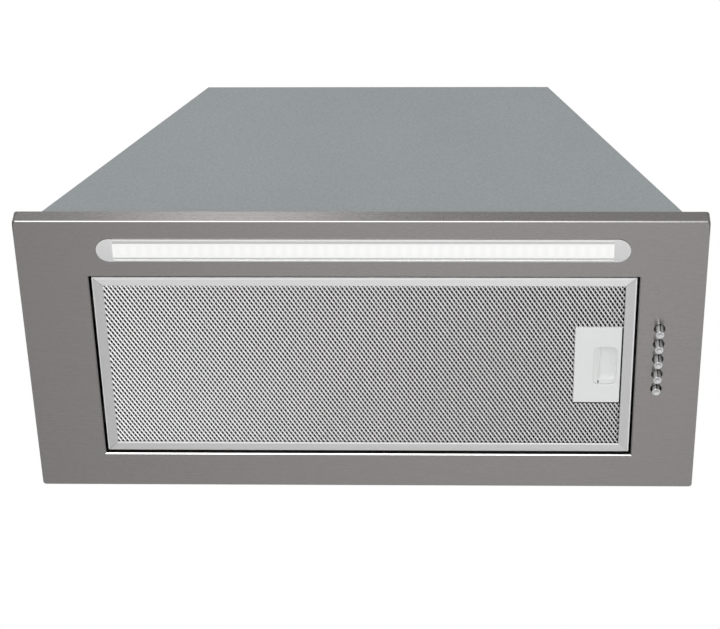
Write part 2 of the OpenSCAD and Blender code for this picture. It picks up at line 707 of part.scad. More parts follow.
// Half of the scroll: a side plate with the inlet, the wrap up to the middle, and the outlet's flange
module scroll_half(plate_x, s) {
  x_mid = top_shift;
  far = plate_x + s * side_t;
  difference() {
    union() {
      difference() {
        along_shaft(min(x_mid, plate_x), max(x_mid, plate_x)) polygon(scroll_outline(scroll_t));
        along_shaft(min(x_mid, plate_x) - 1, max(x_mid, plate_x) + 1)
          polygon(scroll_outline(0));
      }
      along_shaft(min(plate_x, far), max(plate_x, far)) polygon(scroll_outline(scroll_t));
      flange_x = top_shift + s * (ear_x + 6);
      difference() {
        block([min(x_mid, flange_x), body_cy - ear_y - 6, in_top - side_t], [max(x_mid, flange_x), body_cy + ear_y + 6, in_top]);
        block([min(x_mid, plate_x) - 1, outlet_y0 - scroll_t / 2, in_top - 3], [max(x_mid, plate_x) + 1, outlet_y1 + scroll_t / 2, in_top + 1]);
      }
    }
    block([min(x_mid, plate_x) - (s > 0 ? 1 : 0), outlet_y0, in_top - 3],
          [max(x_mid, plate_x) + (s > 0 ? 0 : 1), outlet_y1, in_top + 1]);
    translate([plate_x - 3, fan_y, fan_z]) rotate([0, 90, 0]) cylinder(r = inlet_r, h = 6);
    for (y = [-1, 1])
      translate([top_shift + s * ear_x, body_cy + y * ear_y, in_top - 4]) cylinder(r = screw_r - 0.2, h = 6);
    collar_screw_places() translate([0, 0, in_top - 4]) cylinder(r = screw_r + fit, h = 6);
  }
}

module scroll_left() color(black_plastic) scroll_half(scroll_x0, -1);
module scroll_right() color(black_plastic) scroll_half(scroll_x1, 1);

module fan_screws() color(zinc)
  for (x = [-1, 1], y = [-1, 1])
    translate([top_shift + x * ear_x, body_cy + y * ear_y, body_h]) pan_screw(screw_r - 0.2, 6);

// Turns a shape round Z into one round the fan's shaft, with its base at x
module on_shaft(x) {
  translate([x, fan_y, fan_z]) rotate([0, 90, 0]) children();
}

// Bell mouth on the right-hand inlet
module inlet_ring() color(black_plastic) on_shaft(scroll_x1 - 5)
  rotate_extrude() {
    mouth_r = inlet_r - gap;
    translate([mouth_r - 1.2, 0]) square([1.2, 5 + side_t + e]);
    translate([mouth_r - 1.2, 5 + side_t]) square([13, 1.2]);
  }

// Blade section: a strip bent forwards, drawn from the shaft's centre
module blade() {
  inner = wheel_r - 11;
  outer = wheel_r - 0.5;
  steps = 4;
  function bend(q) = 9 * pow(q, 2);
  function at(q, t) = let (r = inner + (outer - inner) * q, a = bend(q) + t / r * 57) [r * cos(a), r * sin(a)];
  polygon(concat([for (i = [0:steps]) at(i / steps, 0)], [for (i = [steps:-1:0]) at(i / steps, 0.9)]));
}

module impeller() color(black_plastic) on_shaft(top_shift - wheel_l / 2) difference() {
  union() {
    for (i = [0:blades - 1]) rotate([0, 0, 360 * i / blades]) linear_extrude(wheel_l) blade();
    for (z = [0, wheel_l - 3])
      translate([0, 0, z]) rotate_extrude() translate([wheel_r - 4, 0]) square([4, 3]);
    translate([0, 0, wheel_l / 2 - 1]) cylinder(r = wheel_r, h = 2);
    translate([0, 0, wheel_l / 2 - 9]) cylinder(r = 10, h = 20);
  }
  translate([0, 0, wheel_l / 2 - 12]) cylinder(r = shaft_r, h = 26);
}

module motor_shaft() color(zinc) on_shaft(motor_x0 - 6) cylinder(r = shaft_r, h = top_shift + 14 - motor_x0 + 6);

rotor_r = 20;
rotor_l = 24;
rotor_x = motor_x0 + motor_l / 2 - rotor_l / 2;

module motor_rotor() color(zinc) on_shaft(rotor_x) difference() {
  cylinder(r = rotor_r, h = rotor_l);
  translate([0, 0, -1]) cylinder(r = shaft_r, h = rotor_l + 2);
}

module motor_stator() color(copper) on_shaft(rotor_x) difference() {
  cylinder(r = motor_r - can_t - 0.05, h = rotor_l);
  translate([0, 0, -1]) cylinder(r = rotor_r + 0.5, h = rotor_l + 2);
  for (i = [0:11]) rotate([0, 0, 30 * i]) translate([rotor_r - 1, -1.5, -1]) cube([9, 3, rotor_l + 2]);
}

module motor_can() color(zinc) on_shaft(motor_x0) difference() {
  cylinder(r = motor_r, h = motor_l - can_t);
  translate([0, 0, can_t]) cylinder(r = motor_r - can_t, h = motor_l);
  translate([0, 0, -1]) cylinder(r = bush_r, h = can_t + 2);
  motor_screw_places() translate([0, 0, -1]) cylinder(r = screw_r, h = can_t + 2);
}

module motor_cap() color(zinc) on_shaft(motor_x1 - can_t) difference() {
  cylinder(r = motor_r, h = can_t);
  translate([0, 0, -1]) cylinder(r = bush_r, h = can_t + 2);
}

module motor_bushes() color([0.70, 0.55, 0.30])
  for (x = [motor_x0, motor_x1 - bush_l])
    on_shaft(x) difference() {
      cylinder(r = bush_r, h = bush_l);
      translate([0, 0, -1]) cylinder(r = shaft_r + bush_play, h = bush_l + 2);
    }

module motor_screw_places() {
  for (a = [60, 180, 300]) rotate([0, 0, a]) translate([20, 0, 0]) children();
}

bracket_t = 2;

// Spider across the left-hand inlet that carries the motor
module motor_bracket() color(zinc) on_shaft(motor_x0 - bracket_t) difference() {
  union() {
    difference() {
      cylinder(r = inlet_r + 12, h = bracket_t);
      translate([0, 0, -1]) cylinder(r = inlet_r + 1, h = bracket_t + 2);
    }
    cylinder(r = 27, h = bracket_t);
    for (a = [60, 180, 300]) rotate([0, 0, a]) translate([15, -6, 0]) cube([inlet_r - 9, 12, bracket_t]);
  }
  translate([0, 0, -1]) cylinder(r = bush_r + 1, h = bracket_t + 2);
  motor_screw_places() translate([0, 0, -1]) cylinder(r = screw_r + fit, h = bracket_t + 2);
}

module motor_screws() color(zinc) on_shaft(motor_x0 - bracket_t)
  motor_screw_places() mirror([0, 0, 1]) pan_screw(screw_r, 6);

cap_r = 15;
cap_l = 60;
cap_x = 95;
cap_z = 100;
clip_t = 1.2;
cap_y = in_y1 - clip_t - cap_r - clip_t + 0.4;

module motor_capacitor() color(white_plastic) translate([cap_x, cap_y, cap_z]) rotate([0, 90, 0]) {
  cylinder(r = cap_r, h = cap_l);
  translate([0, 0, -2]) cylinder(r = 8, h = 2 + e);
  for (y = [-4, 4]) translate([-0.4, y - 2.4, -9]) cube([0.8, 4.8, 8]);
}

module capacitor_clip() color(zinc) {
  translate([cap_x + cap_l / 2 - 7, cap_y, cap_z]) rotate([0, 90, 0]) difference() {
    cylinder(r = cap_r + clip_t, h = 14);
    translate([0, 0, -1]) cylinder(r = cap_r, h = 16);
  }
  block([cap_x + cap_l / 2 - 7, in_y1 - clip_t, cap_z - 26], [cap_x + cap_l / 2 + 7, in_y1, cap_z + 26]);
}

// --- Outlet ----------------------------------------------------------------

module collar_screw_places() {
  for (a = [45:90:315])
    translate([top_shift, body_cy, 0]) rotate([0, 0, a]) translate([collar_screw_r, 0, 0]) children();
}

module outlet_collar() color(zinc) difference() {
  union() {
    translate([top_shift, body_cy, body_h]) {
      difference() {
        cylinder(r = collar_flange_r, h = collar_flange_t);
        translate([0, 0, -1]) cylinder(r = collar_in, h = collar_flange_t + 2);
      }
      difference() {
        cylinder(r = collar_r, h = collar_h);
        translate([0, 0, -1]) cylinder(r = collar_in, h = collar_h + 2);
      }
    }
    translate([top_shift, body_cy, ledge_z1 - 1.2]) difference() {
      cylinder(r = collar_in + e, h = 1.2);
      translate([0, 0, -1]) cylinder(r = collar_in - 3, h = 4);
      // room for the flaps' inner ends, which dip as they swing
      intersection() {
        cylinder(r = collar_in, h = 4, center = true);
        block([-pin_x - 4, -collar_r, -2], [pin_x + 4, collar_r, 2]);
      }
    }
  }
  collar_screw_places() translate([0, 0, body_h - 1]) cylinder(r = screw_r + fit, h = collar_flange_t + 2);
  for (x = [-1, 1])
    translate([top_shift + x * pin_x, body_cy + collar_r + 1, pin_z]) rotate([90, 0, 0]) cylinder(r = pin_r, h = collar_d + 2);
}

module collar_screws() color(zinc)
  collar_screw_places() translate([0, 0, body_h + collar_flange_t]) pan_screw(screw_r, 5);

module damper_pins() color(zinc)
  for (x = [-1, 1])
    translate([top_shift + x * pin_x, body_cy + collar_r - 0.4, pin_z]) rotate([90, 0, 0]) cylinder(r = pin_r, h = collar_d - 0.8);

// Half-round flap with two sleeves that turn on its pin. s is the side it is on.
module damper(s) {
  sleeve_r = pin_r + 1.3;
  flap_z = ledge_z1 + gap;
  translate([top_shift, body_cy, 0]) difference() {
    union() {
      intersection() {
        translate([0, 0, flap_z]) cylinder(r = flap_r, h = flap_t);
        block([min(s * 0.7, s * 70), -70, flap_z - 1], [max(s * 0.7, s * 70), 70, flap_z + 2]);
      }
      for (y = [-38, 22])
        translate([s * pin_x, y + 16, pin_z]) rotate([90, 0, 0]) cylinder(r = sleeve_r, h = 16);
    }
    translate([s * pin_x, 70, pin_z]) rotate([90, 0, 0]) cylinder(r = pin_r + 0.1, h = 140);
  }
}

module damper_left() color(zinc) damper(-1);
module damper_right() color(zinc) damper(1);

// --- Electrical parts ------------------------------------------------------

box_x = [-145, -75];
box_y = [in_y1 - 32, in_y1];
box_z = [120, 175];

module terminal_box() color(black_plastic) difference() {
  block([box_x[0], box_y[0], box_z[0]], [box_x[1], box_y[1], box_z[1]]);
  block([box_x[0] + 2, box_y[0] - 1, box_z[0] + 2], [box_x[1] - 2, box_y[1] - 2, box_z[1] - 2]);
  translate([-110, 118, box_z[1] - 4]) cylinder(r = 5, h = 6);
}

module terminal_cover() color(black_plastic)
  block([box_x[0], box_y[0] - 2, box_z[0]], [box_x[1], box_y[0], box_z[1]]);

gland_thread_r = 6.2;

module cable_gland() color(black_plastic) translate([gland_x, gland_y, 0]) difference() {
  union() {
    translate([0, 0, body_h - 8]) cylinder(r = gland_thread_r, h = 9);
    translate([0, 0, body_h]) cylinder(r = 9.5, h = 4, $fn = 6);
    translate([0, 0, body_h + 4 - e]) cylinder(r = 8, h = 5);
    translate([0, 0, body_h + 9 - e]) cylinder(r1 = 8, r2 = 6, h = 3);
  }
  translate([0, 0, body_h - 9]) cylinder(r = gland_bore_r, h = 22);
}

module gland_nut() color(black_plastic) translate([gland_x, gland_y, in_top - 4]) difference() {
  cylinder(r = 9.5, h = 4, $fn = 6);
  translate([0, 0, -1]) cylinder(r = gland_thread_r, h = 6);
}

module led_driver() color(white_plastic) difference() {
  block([90, in_y1 - 26, 34], [210, in_y1, 58]);
  for (z = [41, 51]) translate([89, in_y1 - 13, z]) rotate([0, 90, 0]) cylinder(r = 2.5, h = 12);
}

// --- Wiring ----------------------------------------------------------------

wire_r = 2.5;
motor_lead = [[-90, 118, 119.5], [-90, 117, 110], [-84, 109, 104], [-72, 97, 104], [-60, 88, 107],
              [-53, 84, 110], [-46.8, 84, 110]];
driver_lead = [[-120, 118, 119.5], [-120, 120, 100], [-112, 123, 70], [-95, 125, 48], [-60, 125, 38],
               [0, 125, 36], [50, 123, 40], [78, 121.2, 41], [89.5, 121.2, 41]];
lamp_lead = [[210.6, 121, 46], [220, 121, 45], [238, 106, 36], [250, 80, 27], [256, 40, 23],
             [256, -20, 22], [252, -70, 20], [243, -100, 15], [231, -116, 9], [229, -119.4, 4], [229, -119.4, -2.6]];
switch_lead = [[255, 38, 4.45], [255, 38, 6.5], [255, 40, 10], [248, 62, 15], [236, 90, 20], [210, 116, 23],
               [160, 125, 24], [90, 126, 24], [0, 126, 24], [-70, 126, 26], [-100, 124, 42],
               [-130, 121, 80], [-134, 118, 119.5]];

function unit(v) = v / norm(v);
function on_curve(p, i, q) =
  let (a = p[max(i - 1, 0)], b = p[i], c = p[i + 1], d = p[min(i + 2, len(p) - 1)])
  0.5 * (2 * b + (c - a) * q + (2 * a - 5 * b + 4 * c - d) * q * q + (3 * b - a - 3 * c + d) * q * q * q);
function smooth(p) = concat([for (i = [0:len(p) - 2], q = [0, 0.5]) on_curve(p, i, q)], [p[len(p) - 1]]);
function headings(p) = [for (i = [0:len(p) - 1]) unit(p[min(i + 1, len(p) - 1)] - p[max(i - 1, 0)])];
function carried(t, u, i = 0, done = []) = i == len(t) ? done :
  let (v = unit(u - (u * t[i]) * t[i])) carried(t, v, i + 1, concat(done, [v]));

// Round lead swept along a smooth curve through the points
module lead(route) {
  sides = 8;
  p = smooth(route);
  t = headings(p);
  u = carried(t, [0, 0.2, 1]);
  last = len(p) - 1;
  skin = [for (i = [0:last], k = [0:sides - 1])
    let (a = 360 * k / sides) p[i] + wire_r * (cos(a) * u[i] + sin(a) * cross(t[i], u[i]))];
  walls = [for (i = [0:last - 1], k = [0:sides - 1])
    let (n = (k + 1) % sides)
    [i * sides + k, (i + 1) * sides + k, (i + 1) * sides + n, i * sides + n]];
  polyhedron(skin, concat([[for (k = [0:sides - 1]) k]], [[for (k = [sides - 1:-1:0]) last * sides + k]], walls),
             convexity = 8);
}

module wiring() color(black_plastic) {
  lead(motor_lead);
  lead(driver_lead);
  lead(lamp_lead);
  lead(switch_lead);
}

face_panel();
base_frame();
panel_nuts();
housing_front();
housing_rear();
housing_left();
housing_right();
housing_top();
housing_screws();
lamp_profile();
lamp_cap_left();
lamp_cap_right();
lamp_diffuser();
led_board();
led_chips();
lamp_clips();
switch_housing();
button_off();
button_speed_1();
button_speed_2();
button_speed_3();
button_light();
button_springs();
filter_rail_front();
filter_rail_back();
filter_rail_left();
filter_rail_right();
filter_mesh_lower();
filter_mesh_core();
filter_mesh_upper();
filter_tabs();
latch_plate();
latch_slider();
latch_spring();
scroll_left();
scroll_right();
inlet_ring();
impeller();
motor_shaft();
motor_rotor();
motor_stator();
motor_can();
motor_cap();
motor_bushes();
motor_bracket();
motor_screws();
motor_capacitor();
capacitor_clip();
fan_screws();
outlet_collar();
collar_screws();
damper_left();
damper_right();
damper_pins();
terminal_box();
terminal_cover();
cable_gland();
gland_nut();
led_driver();
wiring();
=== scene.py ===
"""Looks of a built-in range hood: face panel, housing, lamp, filter, latch and buttons."""
import math

import bmesh
import bpy
from mathutils import Matrix, Vector


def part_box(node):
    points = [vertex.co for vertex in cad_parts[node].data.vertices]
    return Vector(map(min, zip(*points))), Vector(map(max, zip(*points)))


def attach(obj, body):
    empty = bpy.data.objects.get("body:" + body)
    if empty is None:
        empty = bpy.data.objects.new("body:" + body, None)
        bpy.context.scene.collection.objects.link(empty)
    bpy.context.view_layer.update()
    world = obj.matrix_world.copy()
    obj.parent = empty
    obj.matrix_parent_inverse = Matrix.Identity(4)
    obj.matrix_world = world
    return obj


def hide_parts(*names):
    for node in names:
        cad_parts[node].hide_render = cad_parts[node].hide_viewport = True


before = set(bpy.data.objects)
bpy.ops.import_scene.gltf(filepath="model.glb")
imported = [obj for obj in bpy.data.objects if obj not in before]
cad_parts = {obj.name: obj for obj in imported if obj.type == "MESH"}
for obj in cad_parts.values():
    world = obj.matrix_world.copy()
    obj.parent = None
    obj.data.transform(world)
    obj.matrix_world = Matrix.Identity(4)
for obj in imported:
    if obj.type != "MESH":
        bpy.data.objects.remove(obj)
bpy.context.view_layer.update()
MM = 0.001

# --- Places taken from the frame ---------------------------------------------------

PANEL_LO, PANEL_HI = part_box("face_panel")
LAMP_LO, LAMP_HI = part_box("lamp_profile")
PLATE_LO, PLATE_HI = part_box("latch_plate")
TONGUE_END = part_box("latch_slider")[1].x

# --- Limits that mesh helpers share ------------------------------------------------

NEAR = 0.05 * MM                # two heights closer than this count as one
MERGE = 0.001 * MM              # two vertices closer than this are one
FLAT_ANGLE = 0.8                # degrees; CAD faces that turn by less are one face
SOFT_ANGLE = 35                 # degrees; edges that turn by less are shaded smooth
SHARP_ANGLE = 30                # degrees; edges that turn by more get rounded
SHEET_FACE = 80 * MM * MM       # flat faces of sheet parts are larger than this
NO_FACE = 1.0                   # square metres, larger than any face


# --- Mesh helpers ------------------------------------------------------------------

def new_piece(bm, name, body, replaces, flat=NO_FACE):
    """Turns a bmesh into a finished piece that rides on a body and stands for CAD nodes.

    Faces larger than flat (in square metres) are shaded flat, so rounded edges don't tint them."""
    limit = math.radians(SOFT_ANGLE)
    for face in bm.faces:
        face.smooth = face.calc_area() < flat
    for edge in bm.edges:
        edge.smooth = len(edge.link_faces) == 2 and edge.calc_face_angle(0) < limit
    mesh = bpy.data.meshes.new(name)
    bm.to_mesh(mesh)
    bm.free()
    piece = bpy.data.objects.new(name, mesh)
    bpy.context.scene.collection.objects.link(piece)
    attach(piece, body)
    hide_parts(*replaces)
    return piece


def give(piece, *materials):
    """Puts finishes on a piece in place of any it had. Its faces pick one by material index."""
    if piece.data.materials:
        piece.data.materials.clear()
    for material in materials:
        piece.data.materials.append(material)


def whole(bm):
    return bm.verts[:] + bm.edges[:] + bm.faces[:]


def vertices_of(geometry):
    return [item for item in geometry if isinstance(item, bmesh.types.BMVert)]


def cad_copy(node):
    """Merged copy of a CAD node, its flat faces made whole again."""
    bm = bmesh.new()
    bm.from_mesh(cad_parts[node].data)
    bmesh.ops.remove_doubles(bm, verts=bm.verts, dist=MERGE)
    bmesh.ops.dissolve_limit(bm, angle_limit=math.radians(FLAT_ANGLE), verts=bm.verts,
                             edges=bm.edges)
    return bm


def sharp_edges(bm, where=None, least=SHARP_ANGLE):
    """Edges that turn by more than least degrees, and whose middle passes the test called where."""
    limit = math.radians(least)
    return [e for e in bm.edges if len(e.link_faces) == 2 and e.calc_face_angle(0) > limit
            and (where is None or where((e.verts[0].co + e.verts[1].co) / 2))]


def round_edges(bm, edges, width, segments=2):
    bmesh.ops.bevel(bm, geom=edges, offset=width, offset_type="OFFSET", segments=segments,
                    profile=0.5, affect="EDGES", clamp_overlap=True, material=-1)


def cut_across(bm, point, normal):
    """Splits every face that crosses a plane."""
    bmesh.ops.bisect_plane(bm, geom=whole(bm), dist=MERGE, plane_co=point, plane_no=normal)


def box_mesh(bm, lo, hi):
    """Adds a closed block between two corners and returns its vertices."""
    made = bmesh.ops.create_cube(bm, size=1)["verts"]
    lo, hi = Vector(lo), Vector(hi)
    bmesh.ops.scale(bm, vec=hi - lo, verts=made)
    bmesh.ops.translate(bm, vec=(lo + hi) / 2, verts=made)
    return made


def rounded_block(bm, lo, hi, width):
    """Adds a block with rounded edges. Corners and width are in millimetres."""
    made = box_mesh(bm, Vector(lo) * MM, Vector(hi) * MM)
    round_edges(bm, [e for e in bm.edges if all(v in made for v in e.verts)], width * MM)


def lathe(bm, outline, centre, steps=48):
    """Spins an outline of (radius, height) points round a vertical line through centre."""
    verts = [bm.verts.new((centre.x + r, centre.y, z)) for r, z in outline]
    edges = [bm.edges.new(pair) for pair in zip(verts, verts[1:])]
    bmesh.ops.spin(bm, geom=verts + edges, cent=(centre.x, centre.y, 0), axis=(0, 0, 1),
                   angle=2 * math.pi, steps=steps, use_merge=True)
    bmesh.ops.remove_doubles(bm, verts=bm.verts, dist=MERGE)
    bmesh.ops.recalc_face_normals(bm, faces=bm.faces)


# --- Node helpers ------------------------------------------------------------------

class Tree:
    """Short way to add and join shader nodes."""

    def __init__(self, tree):
        self.tree = tree

    def add(self, kind, inputs=None, **settings):
        node = self.tree.nodes.new(kind)
        for key, value in settings.items():
            setattr(node, key, value)
        for key, value in (inputs or {}).items():
            self.put(node.inputs[key], value)
        return node

    def put(self, socket, value):
        if isinstance(value, bpy.types.NodeSocket):
            self.tree.links.new(value, socket)
        else:
            socket.default_value = value

    def math(self, operation, *values):
        node = self.tree.nodes.new("ShaderNodeMath")
        node.operation = operation
        for socket, value in zip(node.inputs, values):
            self.put(socket, value)
        return node.outputs[0]

    def place(self):
        """Place on the object, in its own coordinates."""
        return self.add("ShaderNodeTexCoord").outputs["Object"]

    def blend(self, share, first, second):
        """Colour between two others. A colour Mix keeps these sockets at 0, 6 and 7."""
        mix = self.add("ShaderNodeMix", {0: share, 6: first, 7: second}, data_type="RGBA")
        return mix.outputs[2]

    def seen_by_camera(self, usual, seen):
        """One shader for what the camera sees directly, the usual one for all other light."""
        ray = self.add("ShaderNodeLightPath").outputs["Is Camera Ray"]
        return self.add("ShaderNodeMixShader", {0: ray, 1: usual, 2: seen}).outputs[0]


def new_material(name):
    """Returns a material, its tree and its Principled shader."""
    material = bpy.data.materials.new(name)
    material.use_nodes = True
    return material, Tree(material.node_tree), material.node_tree.nodes["Principled BSDF"]


COLOR, VECTOR, FLOAT = "NodeSocketColor", "NodeSocketVector", "NodeSocketFloat"
SPREAD = {"From Min": 0.3, "From Max": 0.7}     # where nearly all of a noise's values lie


def build_grain():
    """Fine grain and slow cloudiness: gives colour, roughness and height. Stretch sets its run."""
    tree = bpy.data.node_groups.new("grain", "ShaderNodeTree")
    for label, kind, default in (
            ("Dark", COLOR, (0, 0, 0, 1)), ("Light", COLOR, (1, 1, 1, 1)),
            ("Stretch", VECTOR, (1, 1, 1)), ("Scale", FLOAT, 400), ("Cloud Scale", FLOAT, 6),
            ("Cloud", FLOAT, 0.3), ("Smooth", FLOAT, 0.3), ("Rough", FLOAT, 0.5)):
        socket = tree.interface.new_socket(label, in_out="INPUT", socket_type=kind)
        socket.default_value = default
    for label, kind in (("Color", COLOR), ("Roughness", FLOAT), ("Height", FLOAT)):
        tree.interface.new_socket(label, in_out="OUTPUT", socket_type=kind)
    t = Tree(tree)
    source = t.add("NodeGroupInput").outputs
    out = t.add("NodeGroupOutput").inputs

    place = t.place()
    along = t.add("ShaderNodeVectorMath", {0: place, 1: source["Stretch"]}, operation="MULTIPLY")
    fine = t.add("ShaderNodeTexNoise", {"Vector": along.outputs[0], "Scale": source["Scale"],
                                        "Detail": 3.0, "Roughness": 0.6}).outputs["Fac"]
    cloud = t.add("ShaderNodeTexNoise", {"Vector": place, "Scale": source["Cloud Scale"],
                                         "Detail": 2.0}).outputs["Fac"]
    share = source["Cloud"]
    mixed = t.math("ADD", t.math("MULTIPLY", fine, t.math("SUBTRACT", 1.0, share)),
                   t.math("MULTIPLY", cloud, share))
    level = t.add("ShaderNodeMapRange", {"Value": mixed, **SPREAD}).outputs[0]
    rough = t.add("ShaderNodeMapRange", {"Value": mixed, **SPREAD, "To Min": source["Smooth"],
                                         "To Max": source["Rough"]}).outputs[0]
    t.put(out["Color"], t.blend(level, source["Dark"], source["Light"]))
    t.put(out["Roughness"], rough)
    t.put(out["Height"], fine)
    return tree


GRAIN = build_grain()


def finish(name, dark, light, stretch=(1, 1, 1), scale=400, cloud_scale=6, cloud=0.3,
           rough=(0.3, 0.5), bump=0.1, depth=0.0002, sockets=None, tangent=None):
    """One finish: a Principled shader fed by the grain group, fixed values on its own sockets."""
    material, t, shader = new_material(name)
    grain = t.add("ShaderNodeGroup")
    grain.node_tree = GRAIN
    for key, value in {"Dark": (*dark, 1), "Light": (*light, 1), "Stretch": stretch,
                       "Scale": scale, "Cloud Scale": cloud_scale, "Cloud": cloud,
                       "Smooth": rough[0], "Rough": rough[1]}.items():
        grain.inputs[key].default_value = value
    t.put(shader.inputs["Base Color"], grain.outputs["Color"])
    t.put(shader.inputs["Roughness"], grain.outputs["Roughness"])
    relief = t.add("ShaderNodeBump", {"Height": grain.outputs["Height"], "Strength": bump,
                                      "Distance": depth})
    t.put(shader.inputs["Normal"], relief.outputs[0])
    for key, value in (sockets or {}).items():
        shader.inputs[key].default_value = value
    if tangent:
        run = t.add("ShaderNodeCombineXYZ", dict(zip("XYZ", tangent)))
        t.put(shader.inputs["Tangent"], run.outputs[0])
    return material


def grey(level):
    return (level, level, level)


# --- Finishes ----------------------------------------------------------------------

METAL = {"Metallic": 1.0}
ACROSS = (1.0, 60.0, 60.0)      # grain drawn out along the width
ALONG_Y = (60.0, 1.0, 60.0)     # grain drawn out front to back
ROUND_X = (30.0, 1.0, 1.0)      # grain drawn out round the motor
BRUSHED = {"scale": 42, "cloud_scale": 3, "depth": 0.00005}
SATIN = {"scale": 18, "cloud_scale": 5, "rough": (0.38, 0.48), "bump": 0.04, "depth": 0.0001,
         "sockets": METAL}

STEEL = finish("brushed_stainless", (0.272, 0.2615, 0.2552), (0.282, 0.2715, 0.2652), ACROSS,
               cloud=0.2, rough=(0.26, 0.28), bump=0.004, tangent=(0, 1, 0),
               sockets={**METAL, "Anisotropic": 0.8}, **BRUSHED)
# painted highlights: lighter copies of the brushed steel for the panel's bends that face the front
STEEL_BEND_HIGHLIGHT = finish("stainless_bend_painted_highlight", (0.52, 0.51, 0.50), (0.60, 0.59, 0.58), ACROSS,
                    cloud=0.35, rough=(0.22, 0.28), bump=0.03, sockets=METAL, **BRUSHED)
STEEL_LIP_HIGHLIGHT = finish("stainless_lip_painted_highlight", (0.76, 0.75, 0.74), (0.84, 0.83, 0.82), ACROSS,
                   cloud=0.35, rough=(0.22, 0.28), bump=0.03, sockets=METAL, **BRUSHED)
STEEL_SIDE = finish("shaded_stainless_bend", (0.11, 0.105, 0.10), (0.15, 0.145, 0.14), ALONG_Y,
                    cloud=0.35, rough=(0.3, 0.4), bump=0.03, sockets=METAL, **BRUSHED)
PAINT = finish("blue_grey_paint", (0.258, 0.279, 0.287), (0.322, 0.346, 0.354), scale=480,
               cloud_scale=12, cloud=0.15, rough=(0.55, 0.68), bump=0.3,
               sockets={"Specular IOR Level": 0.3})
# painted shade: a dark copy of the blue-grey paint for the sheets' rounded edges
PAINT_EDGE_SHADE = finish("paint_edge_painted_shade", (0.085, 0.093, 0.096), (0.115, 0.125, 0.128), scale=300,
                    rough=(0.5, 0.65))
ZINC = finish("galvanised_sheet", (0.42, 0.43, 0.44), (0.58, 0.59, 0.60), scale=130,
              cloud_scale=22, cloud=0.5, rough=(0.32, 0.5), bump=0.05, sockets=METAL)
SCREW = finish("bright_zinc", (0.55, 0.56, 0.57), (0.66, 0.67, 0.68), scale=700,
               rough=(0.25, 0.4), bump=0.05, sockets=METAL)
CHROME = finish("polished_chrome", (0.50, 0.50, 0.51), (0.66, 0.66, 0.67), scale=900,
                rough=(0.10, 0.2), bump=0.02, depth=0.00005, sockets=METAL)
SPRING = finish("drawn_steel", (0.38, 0.38, 0.39), (0.48, 0.48, 0.49), scale=900,
                rough=(0.25, 0.4), bump=0.05, sockets=METAL)
# lit and shaded copies of one satin aluminium: the along copy has its grain front to back and is
# painted a little darker as shade; the front rail's copy is painted lighter as light
ALUMINIUM_X = finish("satin_aluminium_across", grey(0.66), grey(0.72), ACROSS, **SATIN)
ALUMINIUM_Y_SHADE = finish("satin_aluminium_along_painted_shade", grey(0.60), grey(0.66), ALONG_Y, **SATIN)
ALUMINIUM_FRONT_LIT = finish("satin_aluminium_painted_highlight", grey(0.80), grey(0.86), ACROSS, **SATIN)
# painted highlight: near-white aluminium for the bright strip along rail and lamp edges
ALUMINIUM_HIGHLIGHT = finish("aluminium_rim_painted_highlight", grey(0.88), grey(0.94), rough=(0.3, 0.4),
                       bump=0.02, sockets={"Metallic": 0.3})
CAP = finish("light_grey_cap", grey(0.72), grey(0.76), scale=800, rough=(0.38, 0.48),
             bump=0.08, sockets={"Coat Weight": 0.1})
# painted highlight: a lighter copy of the cap's grey for its rounded rim
CAP_HIGHLIGHT = finish("cap_rim_painted_highlight", grey(0.88), grey(0.92), scale=800, rough=(0.3, 0.4),
                 bump=0.04)
STRAND = finish("bright_strand", grey(0.86), grey(0.95), scale=600, rough=(0.24, 0.36),
                bump=0.03, sockets=METAL)
# painted shade: the middle and back meshes are near black to stand for the shade inside the filter
STRAND_SHADE = finish("inner_strand_painted_shade", grey(0.05), grey(0.09), scale=600, rough=(0.3, 0.45),
                       bump=0.03, sockets=METAL)
# painted shade: near black, for parts and gaps that stand in shadow
BLACK_SHADE = finish("painted_shade_black", grey(0.010), grey(0.020), scale=500, rough=(0.5, 0.65),
                 bump=0.05)
PALE = finish("pale_plastic", (0.855, 0.87, 0.86), (0.885, 0.90, 0.89), scale=900,
              cloud_scale=20, cloud=0.4, rough=(0.36, 0.46), bump=0.06,
              sockets={"Specular IOR Level": 0.4})
BLACK = finish("black_plastic", (0.018, 0.018, 0.019), (0.032, 0.032, 0.034), scale=700,
               rough=(0.42, 0.58), bump=0.2, depth=0.0001)
WHITE = finish("white_plastic", (0.74, 0.74, 0.72), (0.80, 0.80, 0.78), scale=700,
               rough=(0.35, 0.45), bump=0.06)
COPPER = finish("copper_winding", (0.42, 0.16, 0.07), (0.62, 0.26, 0.12), ROUND_X, 60,
                rough=(0.25, 0.4), bump=0.4, depth=0.0004, sockets=METAL)
BRONZE = finish("sintered_bronze", (0.36, 0.23, 0.10), (0.48, 0.32, 0.15), scale=900,
                rough=(0.4, 0.55), bump=0.15, sockets=METAL)
JACKET = finish("wire_jacket", grey(0.02), grey(0.035), scale=500, rough=(0.5, 0.65))


